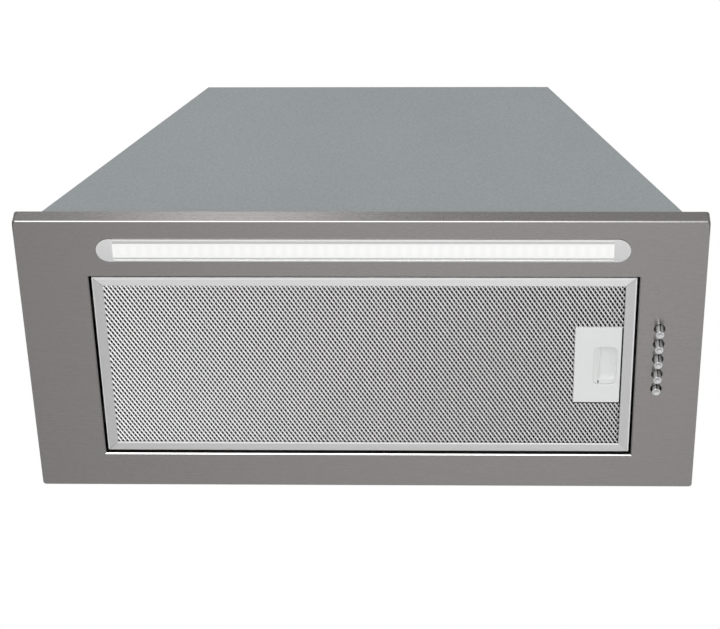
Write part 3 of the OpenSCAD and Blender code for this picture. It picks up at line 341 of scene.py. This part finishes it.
def build_diffuser():
    """Opal strip lit by a row of chips: it glows in waves along X and fades towards its edges."""
    material, t, shader = new_material("opal_diffuser")
    chip_pitch = 9 * MM
    first_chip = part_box("led_chips")[0].x + 1.4 * MM
    middle_y = (LAMP_LO.y + LAMP_HI.y) / 2
    full, faded = 2.5 * MM, 8 * MM      # off the middle line, where the glow starts and ends
    place = t.add("ShaderNodeSeparateXYZ", {0: t.place()}).outputs
    phase = t.math("MULTIPLY", t.math("SUBTRACT", place[0], first_chip), 2 * math.pi / chip_pitch)
    wave = t.math("MULTIPLY_ADD", t.math("COSINE", phase), 0.5, 0.5)
    off_centre = t.math("ABSOLUTE", t.math("SUBTRACT", place[1], middle_y))
    across = t.add("ShaderNodeMapRange", {"Value": off_centre, "From Min": full, "From Max": faded,
                                          "To Min": 1.0, "To Max": 0.0},
                   interpolation_type="SMOOTHSTEP")
    glow = t.math("MULTIPLY", wave, across.outputs[0])
    tint = t.blend(glow, (0.868, 0.874, 0.855, 1), (0.905, 0.91, 0.905, 1))
    t.put(shader.inputs["Emission Color"], tint)
    shader.inputs["Emission Strength"].default_value = 1.0
    shader.inputs["Base Color"].default_value = (*grey(0.02), 1)
    shader.inputs["Roughness"].default_value = 0.3
    return material


STEM = 3.65 * MM                # radius of a button's side
REFLECTION_BANDS = ((0.0, 0.10), (0.14, 0.85), (0.36, 1.0), (0.46, 1.0), (0.52, 0.02), (0.60, 0.02),
          (0.67, 1.0), (1.0, 0.20))     # place across a button, and how light it is there: painted reflection bands


def middle_of(node):
    lo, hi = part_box(node)
    return (lo + hi) / 2


def build_painted_reflection():
    """Chrome side of a button: painted reflection, bands light and dark in turn across its width.
    """
    material, t, shader = new_material("chrome_side_painted_reflection")
    middle = middle_of("button_off").x
    place = t.add("ShaderNodeSeparateXYZ", {0: t.place()}).outputs
    share = t.add("ShaderNodeMapRange", {"Value": place[0], "From Min": middle - STEM,
                                         "From Max": middle + STEM})
    bands = t.add("ShaderNodeValToRGB", {0: share.outputs[0]})
    ramp = bands.color_ramp.elements
    while len(ramp) < len(REFLECTION_BANDS):
        ramp.new(0.5)
    for element, (position, level) in zip(ramp, REFLECTION_BANDS):
        element.position = position
        element.color = (*grey(level), 1)
    t.put(shader.inputs["Base Color"], bands.outputs[0])
    shader.inputs["Metallic"].default_value = 0.5
    shader.inputs["Roughness"].default_value = 0.2
    return material


OPAL = build_diffuser()
CHROME_SIDE_REFLECTION = build_painted_reflection()


def softened(node, material, body, width, segments=2, flat=NO_FACE):
    """Stands for a CAD node with the same shape, its sharp edges rounded width millimetres."""
    bm = cad_copy(node)
    round_edges(bm, sharp_edges(bm), width * MM, segments)
    piece = new_piece(bm, node + "_finished", body, [node], flat)
    give(piece, material)
    return piece


# --- Face panel --------------------------------------------------------------------

def face_panel():
    """Folded tray: wide bends round the outside and at the cut-out, crisp cut edges elsewhere."""
    tray_z = PANEL_LO.z + NEAR
    bend_zone = 3.2 * MM        # how far in from the tray's sides its bends may start
    cut_zone = 4 * MM           # how far out from the filter the cut-out's bends may start
    side_zone = 2 * MM          # how far in from the tray's sides the side finish reaches
    bend_top = PANEL_LO.z + 1.2 * MM
    square_on = 0.995           # a face is slanted when no part of its normal passes this
    filter_lo, filter_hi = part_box("filter_rail_front")
    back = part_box("filter_rail_back")[1].y

    def front_bend(p):
        return p.y < PANEL_LO.y + bend_zone and p.z < tray_z

    def side_bend(p):
        at_side = abs(p.x) > PANEL_HI.x - bend_zone or p.y > PANEL_HI.y - bend_zone
        return at_side and p.z < tray_z

    def upper_edge(p):
        return p.z > -NEAR

    def cut_bend(p):
        return (filter_lo.x - cut_zone < p.x < filter_hi.x + cut_zone
                and filter_lo.y - cut_zone < p.y < back + cut_zone and p.z < tray_z)

    bm = cad_copy("face_panel")
    for where, width, segments in ((front_bend, 1.1, 3), (side_bend, 0.6, 2),
                                   (upper_edge, 0.2, 2), (cut_bend, 0.9, 1)):
        round_edges(bm, sharp_edges(bm, where), width * MM, segments)
    piece = new_piece(bm, "face_panel_finished", "hood", ["face_panel"],
                      SHEET_FACE)
    # front-facing bends get painted highlights (lighter steel); the outer side bends get painted
    # shade (darker steel)
    bend, side, lip = 1, 2, 3
    give(piece, STEEL, STEEL_BEND_HIGHLIGHT, STEEL_SIDE, STEEL_LIP_HIGHLIGHT)
    for face in piece.data.polygons:
        slanted = max(abs(c) for c in face.normal) < square_on and face.center.z < bend_top
        outer_side = (abs(face.center.x) > PANEL_HI.x - side_zone
                      or face.center.y > PANEL_HI.y - side_zone)
        faces_front = face.normal.y < -0.1 and abs(face.normal.x) < 0.1
        if slanted and outer_side:
            face.material_index = side
        elif slanted and faces_front:
            face.material_index = lip if face.center.y > back else bend


face_panel()


# --- Housing -----------------------------------------------------------------------

def housing_sheet(node):
    """One folded sheet. Its rounded edges are painted a little darker, as painted shade."""
    piece = softened(node, PAINT, "hood", 0.6, flat=SHEET_FACE)
    piece.data.materials.append(PAINT_EDGE_SHADE)
    square_on = 0.999
    large = 0.002               # square metres; a sloping sheet, not an edge
    for face in piece.data.polygons:
        if max(abs(c) for c in face.normal) <= square_on and face.area <= large:
            face.material_index = 1


for sheet in ("front", "rear", "left", "right", "top"):
    housing_sheet("housing_" + sheet)


# --- Expanded mesh -----------------------------------------------------------------

def strand(bm, start, end, width, rise, thickness):
    """One flattened strand of expanded metal: a thin bar tilted about its own length."""
    a, b = Vector(start), Vector(end)
    side = Vector((width / 2, 0, rise / 2))
    face = bm.faces.new([bm.verts.new(p) for p in (a - side, b - side, b + side, a + side)])
    solid = bmesh.ops.extrude_face_region(bm, geom=[face])["geom"]
    face.normal_update()
    bmesh.ops.translate(bm, vec=face.normal * thickness, verts=vertices_of(solid))


def repeat(bm, count, step):
    """Lays count copies of everything in the bmesh in a row, a step apart."""
    original = whole(bm)
    for i in range(1, count):
        made = bmesh.ops.duplicate(bm, geom=original)["geom"]
        bmesh.ops.translate(bm, vec=Vector(step) * i, verts=vertices_of(made))


def expanded_layer(bm, lo, hi, pitch, z, wide, narrow, thickness):
    """Sheet of expanded metal between two corners: staggered diamonds of pitch (across, along).

    wide and narrow are (width, rise) of the two runs of strands, which lean opposite ways.
    Pitch, strands and thickness are in millimetres."""
    sheet = bmesh.new()
    pitch_x, pitch_y = pitch[0] * MM, pitch[1] * MM
    half_x, half_y = pitch_x / 2, pitch_y / 2
    for x, y in ((0, 0), (half_x, half_y)):
        for way, (width, rise) in ((1, wide), (-1, narrow)):
            strand(sheet, (x, y, z), (x + way * half_x, y + half_y, z),
                   width * MM, rise * MM, thickness * MM)
    repeat(sheet, round((hi.x - lo.x) / pitch_x) - 1, (pitch_x, 0, 0))
    repeat(sheet, round((hi.y - lo.y) / pitch_y) - 1, (0, pitch_y, 0))
    xs = [v.co.x for v in sheet.verts]
    ys = [v.co.y for v in sheet.verts]
    off_x = (lo.x + hi.x) / 2 - (min(xs) + max(xs)) / 2
    off_y = (lo.y + hi.y) / 2 - (min(ys) + max(ys)) / 2
    bmesh.ops.translate(sheet, vec=(off_x, off_y, 0), verts=sheet.verts)
    bmesh.ops.recalc_face_normals(sheet, faces=sheet.faces)
    mesh = bpy.data.meshes.new("sheet")
    sheet.to_mesh(mesh)
    sheet.free()
    bm.from_mesh(mesh)
    bpy.data.meshes.remove(mesh)


def cut_hole(bm, lo, hi):
    """Removes the faces whose middles lie inside the rectangle, and closes cut strands."""
    def inside(face):
        middle = face.calc_center_median()
        return lo.x < middle.x < hi.x and lo.y < middle.y < hi.y

    bmesh.ops.delete(bm, geom=[f for f in bm.faces if inside(f)], context="FACES")
    bmesh.ops.delete(bm, geom=[e for e in bm.edges if not e.link_faces], context="EDGES")
    bmesh.ops.holes_fill(bm, edges=[e for e in bm.edges if e.is_boundary], sides=8)


PLATE_EDGE = Vector((0.3 * MM, 0.3 * MM, 0))    # room all round the latch plate
FACE_GAP = 1.6                  # more room on the plate's right, in millimetres
BOX_SIDE = 12.0                 # room for the latch's box behind the mesh, likewise
FACE_PITCH = (3.9, 6.6)


def mesh_piece(name, node, material, layers, room=None):
    """One of the filter's meshes: layers of (share of its height, pitch, wide, narrow, thickness).

    With room, a hole is left for the latch plate and that much more on its right."""
    lo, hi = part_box(node)
    bm = bmesh.new()
    for share, pitch, wide, narrow, thickness in layers:
        expanded_layer(bm, lo, hi, pitch, lo.z + share * (hi.z - lo.z), wide, narrow, thickness)
    if room:
        cut_hole(bm, PLATE_LO - PLATE_EDGE, PLATE_HI + PLATE_EDGE + Vector((room * MM, 0, 0)))
    give(new_piece(bm, name, "filter", [node]), material)


mesh_piece("filter_mesh_front_face", "filter_mesh_lower", STRAND,
           [(0.5, FACE_PITCH, (1.1, 0.85), (0.88, 0.2), 0.2)], FACE_GAP)
# the middle and back meshes carry painted shade
mesh_piece("filter_mesh_middle", "filter_mesh_core", STRAND_SHADE,
           [(0.35, (5.0, 8.0), (1.7, 0.8), (1.2, 0.8), 0.25),
            (0.8, (6.2, 10.0), (1.7, 0.8), (1.2, 0.8), 0.25)], BOX_SIDE)
mesh_piece("filter_mesh_back_face", "filter_mesh_upper", STRAND_SHADE,
           [(0.5, FACE_PITCH, (1.75, 0.3), (1.45, -0.3), 0.2)])


# --- Filter frame and latch --------------------------------------------------------

def filter_rail(name, metal, outwards, rim):
    """Rail of the filter frame. A strip rim mm wide along the edge it turns outwards carries a
    painted highlight.
    """
    node = "filter_rail_" + name
    lo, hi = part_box(node)
    outwards = Vector(outwards)
    outer = hi if outwards.x + outwards.y > 0 else lo
    face_top = lo.z + 0.6 * MM
    bm = cad_copy(node)
    cut_across(bm, outer - outwards * rim * MM, outwards)
    round_edges(bm, sharp_edges(bm), 0.5 * MM, 3)
    piece = new_piece(bm, node + "_finished", "filter", [node], SHEET_FACE)
    give(piece, metal, ALUMINIUM_HIGHLIGHT)
    for face in piece.data.polygons:
        inset = (outer - face.center).dot(outwards)
        if inset < rim * MM and face.center.z < face_top:
            face.material_index = 1


# the front rail is painted lighter (painted light), the side rails a little darker (painted shade)
filter_rail("front", ALUMINIUM_FRONT_LIT, (0, -1, 0), 3.1)
filter_rail("back", ALUMINIUM_X, (0, -1, 0), 1.3)
filter_rail("left", ALUMINIUM_Y_SHADE, (-1, 0, 0), 1.2)
filter_rail("right", ALUMINIUM_Y_SHADE, (1, 0, 0), 1.2)
# the tabs are painted black as shade, for the dark gap they cross
softened("filter_tabs", BLACK_SHADE, "filter", 0.2)
softened("latch_plate", PALE, "filter", 0.5, 3, SHEET_FACE)


def rounded_ring(bm, lo, hi, radii, z, steps=6):
    """Loop of vertices round a rectangle, in millimetres.

    radii go right-rear, left-rear, left-front, right-front."""
    corners = ((hi[0], hi[1], 1, 1), (lo[0], hi[1], -1, 1), (lo[0], lo[1], -1, -1),
               (hi[0], lo[1], 1, -1))
    ring = []
    for quarter, ((x, y, way_x, way_y), radius) in enumerate(zip(corners, radii)):
        for i in range(steps + 1):
            angle = math.radians(90 * (quarter + i / steps))
            ring.append(bm.verts.new(((x - way_x * radius + radius * math.cos(angle)) * MM,
                                      (y - way_y * radius + radius * math.sin(angle)) * MM,
                                      z * MM)))
    return ring


def skin(bm, rings):
    """Closed solid through a row of rings that have the same number of vertices."""
    for one, two in zip(rings, rings[1:]):
        for i in range(len(one)):
            j = (i + 1) % len(one)
            bm.faces.new((one[i], one[j], two[j], two[i]))
    bm.faces.new(rings[0])
    bm.faces.new(rings[-1])


# the slide, in millimetres
SLIDE_TOP, SLIDE_FACE = -4.7, -9.7
SLIDE_LO, SLIDE_HI = (201.4, -13.05), (228.4, 34.05)
CUP_LO, CUP_HI = (209.6, -10.4), (224.9, 27.2)
CUP_STEPS = ((0.0, 0.0), (0.35, 0.35), (1.3, 0.7), (2.5, 1.3), (3.2, 2.4), (3.4, 4.0))
GRIP_LO, GRIP_HI = (208.7, -7.0, -10.5), (209.9, 27.4, -9.5)
# the notch is a black block: painted shade for the gap there
NOTCH_LO, NOTCH_HI = (208.9, 28.2, -9.75), (209.9, 31.4, -9.6)
TONGUE_LO, TONGUE_HI = (225.2, 2, -8.9), (TONGUE_END / MM, 19, -6.6)


def latch_slider():
    """Moulded slide behind the window: a finger cup with a grip on its left, and a steel tongue
    painted black as shade. A black block at the notch is painted shade for the gap there.
    """
    wide_corner, tight_corner = 5.5, 1.2        # radii at the cup's mouth, right and left
    slack = 0.1
    bm = bmesh.new()
    rings = []
    for z, inset in ((SLIDE_TOP, 0.0), (SLIDE_FACE + 0.3, 0.0), (SLIDE_FACE, 0.3)):
        rings.append(rounded_ring(bm, [c + inset for c in SLIDE_LO],
                                  [c - inset for c in SLIDE_HI], (1, 1, 1, 1), z))
    for depth, inset in CUP_STEPS:
        right = wide_corner - inset * 0.7
        left = tight_corner + inset * 0.5
        rings.append(rounded_ring(bm, (CUP_LO[0] + inset * 0.4, CUP_LO[1] + inset),
                                  [c - inset for c in CUP_HI], (right, left, left, right),
                                  SLIDE_FACE + depth))
    skin(bm, rings)
    rounded_block(bm, GRIP_LO, GRIP_HI, 0.35)
    bmesh.ops.recalc_face_normals(bm, faces=bm.faces)
    rounded_block(bm, TONGUE_LO, TONGUE_HI, 0.3)
    box_mesh(bm, Vector(NOTCH_LO) * MM, Vector(NOTCH_HI) * MM)
    # the tongue and the notch get the painted shade black
    for face in bm.faces:
        x, y, z = face.calc_center_median() / MM
        on_tongue = x > SLIDE_HI[0] + slack / 2
        on_notch = (NOTCH_LO[0] - slack < x < NOTCH_HI[0] + slack
                    and NOTCH_LO[1] - slack < y < NOTCH_HI[1] + slack
                    and z < NOTCH_HI[2] + slack / 2)
        face.material_index = int(on_tongue or on_notch)
    piece = new_piece(bm, "latch_slider_finished", "latch", ["latch_slider"])
    give(piece, PALE, BLACK_SHADE)


latch_slider()


# --- Lamp --------------------------------------------------------------------------

def lamp_profile():
    """Extruded channel: a raised outer lip along each side, then a slope down to the lit strip."""
    lip, slope, sunk = 1.7 * MM, 0.5 * MM, 0.45 * MM
    hair = 0.01 * MM
    bright = 1.6 * MM           # how far in from the front the painted highlight on the rim reaches
    strip_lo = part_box("lamp_diffuser")[0]
    face_z = LAMP_LO.z + NEAR
    bm = cad_copy("lamp_profile")
    for edge_y, way in ((LAMP_LO.y, 1), (LAMP_HI.y, -1)):
        for reach in (lip, lip + slope):
            cut_across(bm, (0, edge_y + way * reach, 0), (0, 1, 0))
    inner_lo = LAMP_LO.y + lip + slope - hair
    inner_hi = LAMP_HI.y - lip - slope + hair
    for v in bm.verts:
        if v.co.z < face_z and inner_lo < v.co.y < inner_hi:
            v.co.z += sunk
    # the front lip laps over the edge of the lit strip
    box_mesh(bm, (LAMP_LO.x, LAMP_LO.y + lip, LAMP_LO.z + 0.25 * MM),
             (LAMP_HI.x, strip_lo.y + 1.3 * MM, strip_lo.z - 0.02 * MM))
    round_edges(bm, sharp_edges(bm, lambda p: p.z < face_z, 60), 0.3 * MM)
    piece = new_piece(bm, "lamp_profile_finished", "hood", ["lamp_profile"],
                      SHEET_FACE)
    # the front rim of the channel carries the painted highlight
    give(piece, ALUMINIUM_X, ALUMINIUM_HIGHLIGHT)
    for face in piece.data.polygons:
        if face.center.y < LAMP_LO.y + bright and face.center.z < face_z + 0.5 * MM:
            face.material_index = 1


def lamp_cap(side):
    """Round end of the lamp. The rounded edge round its face is painted lighter, a painted
    highlight.
    """
    piece = softened("lamp_cap_" + side, CAP, "hood", 0.8, 3)
    piece.data.materials.append(CAP_HIGHLIGHT)
    for face in piece.data.polygons:
        if 0.05 < -face.normal.z < 0.995 and face.center.z < LAMP_LO.z + 1 * MM:
            face.material_index = 1


lamp_profile()
lamp_cap("left")
lamp_cap("right")
softened("lamp_diffuser", OPAL, "hood", 0.2)


# --- Buttons -----------------------------------------------------------------------

def button(name):
    """Chrome push button with a dished end, a side painted with light and dark reflection bands,
    and a black collar inside the hood.
    """
    lo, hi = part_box(name)
    z = lo.z
    r = 4.0 * MM
    collar = 5.7 * MM
    collar_z, collar_top = z + 10.9 * MM, z + 12.1 * MM
    rod = 2.4 * MM
    dish = [(0, z + 0.5 * MM), (1.2 * MM, z + 0.45 * MM), (2.4 * MM, z + 0.15 * MM), (3.0 * MM, z)]
    rim = [(r - 0.35 * MM, z + 0.1 * MM), (r - 0.1 * MM, z + 0.3 * MM), (r, z + 0.6 * MM),
           (r, z + 1.1 * MM)]
    side = [(STEM, z + 1.9 * MM), (STEM, collar_z)]
    inside = [(collar, collar_z), (collar, collar_top), (rod, collar_top),
              (rod, hi.z - 0.3 * MM), (rod - 0.3 * MM, hi.z), (0, hi.z)]
    bm = bmesh.new()
    lathe(bm, dish + rim + side + inside, (lo + hi) / 2)
    piece = new_piece(bm, name + "_cap", name, [name])
    give(piece, CHROME, BLACK, CHROME_SIDE_REFLECTION)
    for face in piece.data.polygons:
        if face.center.z > z + 10.5 * MM:
            face.material_index = 1
        elif face.center.z > z + 0.6 * MM:
            face.material_index = 2


for label in ("off", "speed_1", "speed_2", "speed_3", "light"):
    button("button_" + label)


# --- Everything else keeps its CAD shape -------------------------------------------

# finish, slot, and how wide in millimetres each node's edges are rounded
for material, slot_name, nodes in (
        (ZINC, "zinc_sheet", {
            "base_frame": 0.2, "outlet_collar": 0.25, "lamp_clips": 0.15, "capacitor_clip": 0.2,
            "motor_bracket": 0.3, "motor_can": 0.4, "motor_cap": 0.3}),
        (BLACK, "black_plastic", {
            "switch_housing": 0.4, "scroll_left": 0.3, "scroll_right": 0.3, "terminal_box": 0.5,
            "terminal_cover": 0.4, "cable_gland": 0.4, "gland_nut": 0.3}),
        (WHITE, "white_plastic", {"led_driver": 0.8}),
        (SPRING, "spring_steel", {"damper_pins": 0.2})):
    for node, width in nodes.items():
        softened(node, material, "hood", width)
for way in ("left", "right"):
    softened("damper_" + way, ZINC, "flap_" + way, 0.2)

# these keep their mesh as well
for material, nodes in (
        (SCREW, ("panel_nuts", "housing_screws", "motor_screws", "fan_screws", "collar_screws")),
        (SPRING, ("button_springs", "latch_spring", "motor_shaft", "motor_rotor")),
        (WHITE, ("led_board", "led_chips", "motor_capacitor")),
        (BLACK, ("inlet_ring", "impeller")),
        (COPPER, ("motor_stator",)),
        (BRONZE, ("motor_bushes",)),
        (JACKET, ("wiring",))):
    for node in nodes:
        give(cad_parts[node], material)


# --- Floor, light and camera -------------------------------------------------------

FLOOR_Z = -3.2
FLOOR_SIZE = 6
BRIGHT_SIDE = (-0.1, -0.6, -0.8)        # the backdrop is brightest this way
SKY_LEVEL, SKY_SWING = 0.74, 0.45
# name, place, target, size and power
LIGHTS = (
    ("front_softbox", (-0.42, -2.35, -1.8), (-0.1, 0, 0), (1.6, 1.8), 26),
    ("edge_softbox", (-0.28, -1.4, 1.65), (-0.09, -0.15, 0), (0.3, 0.6), 1.2),
    ("side_softbox", (2.1, 0.35, -1.9), (0, 0, 0), (1.3, 1.1), 6.6),
    ("floor_softbox", (0.3, 2.0, -1.7), (0.3, 2.0001, FLOOR_Z), (1.8, 1.6), 33),
)


def studio_floor():
    """Pale floor. Seen directly it is as white as the backdrop, so no edge shows between them."""
    bm = bmesh.new()
    bmesh.ops.create_grid(bm, x_segments=1, y_segments=1, size=FLOOR_SIZE)
    bmesh.ops.translate(bm, vec=(0, 0, FLOOR_Z), verts=bm.verts)
    mesh = bpy.data.meshes.new("floor")
    bm.to_mesh(mesh)
    bm.free()
    floor = bpy.data.objects.new("floor", mesh)
    bpy.context.scene.collection.objects.link(floor)
    material, t, matt = new_material("pale_floor")
    matt.inputs["Base Color"].default_value = (*grey(0.8), 1)
    matt.inputs["Roughness"].default_value = 0.9
    white = t.add("ShaderNodeEmission", {"Color": (1, 1, 1, 1), "Strength": 1.0}).outputs[0]
    output = material.node_tree.nodes["Material Output"].inputs["Surface"]
    t.put(output, t.seen_by_camera(matt.outputs[0], white))
    give(floor, material)


def backdrop():
    """White to the camera; as a light, soft and brighter towards BRIGHT_SIDE."""
    world = bpy.data.worlds.new("studio")
    bpy.context.scene.world = world
    world.use_nodes = True
    t = Tree(world.node_tree)
    back = world.node_tree.nodes["Background"]
    back.inputs["Color"].default_value = (1, 1, 1, 1)
    heading = t.add("ShaderNodeTexCoord").outputs["Generated"]
    towards = t.add("ShaderNodeVectorMath", {0: heading, 1: BRIGHT_SIDE}, operation="DOT_PRODUCT")
    strength = t.math("MULTIPLY_ADD", towards.outputs["Value"], SKY_SWING, SKY_LEVEL)
    t.put(back.inputs["Strength"], strength)
    seen = t.add("ShaderNodeBackground", {"Color": (1, 1, 1, 1), "Strength": 1.0})
    output = world.node_tree.nodes["World Output"].inputs["Surface"]
    t.put(output, t.seen_by_camera(back.outputs[0], seen.outputs[0]))


def softbox(name, place, target, size, power):
    data = bpy.data.lights.new(name, "AREA")
    data.shape = "RECTANGLE"
    data.size, data.size_y = size
    data.energy = power
    light = bpy.data.objects.new(name, data)
    light.location = place
    light.rotation_euler = (Vector(target) - Vector(place)).to_track_quat("-Z", "Y").to_euler()
    bpy.context.scene.collection.objects.link(light)


def camera():
    """Long lens, from the front and about 52 degrees below."""
    look = Vector((-0.03543, 0.61332, 0.78904)).normalized()
    above = Vector((-0.00185, -0.78957, 0.61365))
    place = Vector((0.0819, -1.495, -1.8743))
    data = bpy.data.cameras.new("camera")
    data.lens = 134.38
    data.sensor_width = 36
    data.clip_end = 50
    eye = bpy.data.objects.new("camera", data)
    right = look.cross(above).normalized()
    up = right.cross(look).normalized()
    turn = Matrix((right, up, -look)).transposed()
    eye.matrix_world = Matrix.Translation(place) @ turn.to_4x4()
    bpy.context.scene.collection.objects.link(eye)
    bpy.context.scene.camera = eye


bpy.context.scene.view_settings.view_transform = "Standard"
studio_floor()
backdrop()
for setting in LIGHTS:
    softbox(*setting)
camera()

bpy.context.view_layer.update()
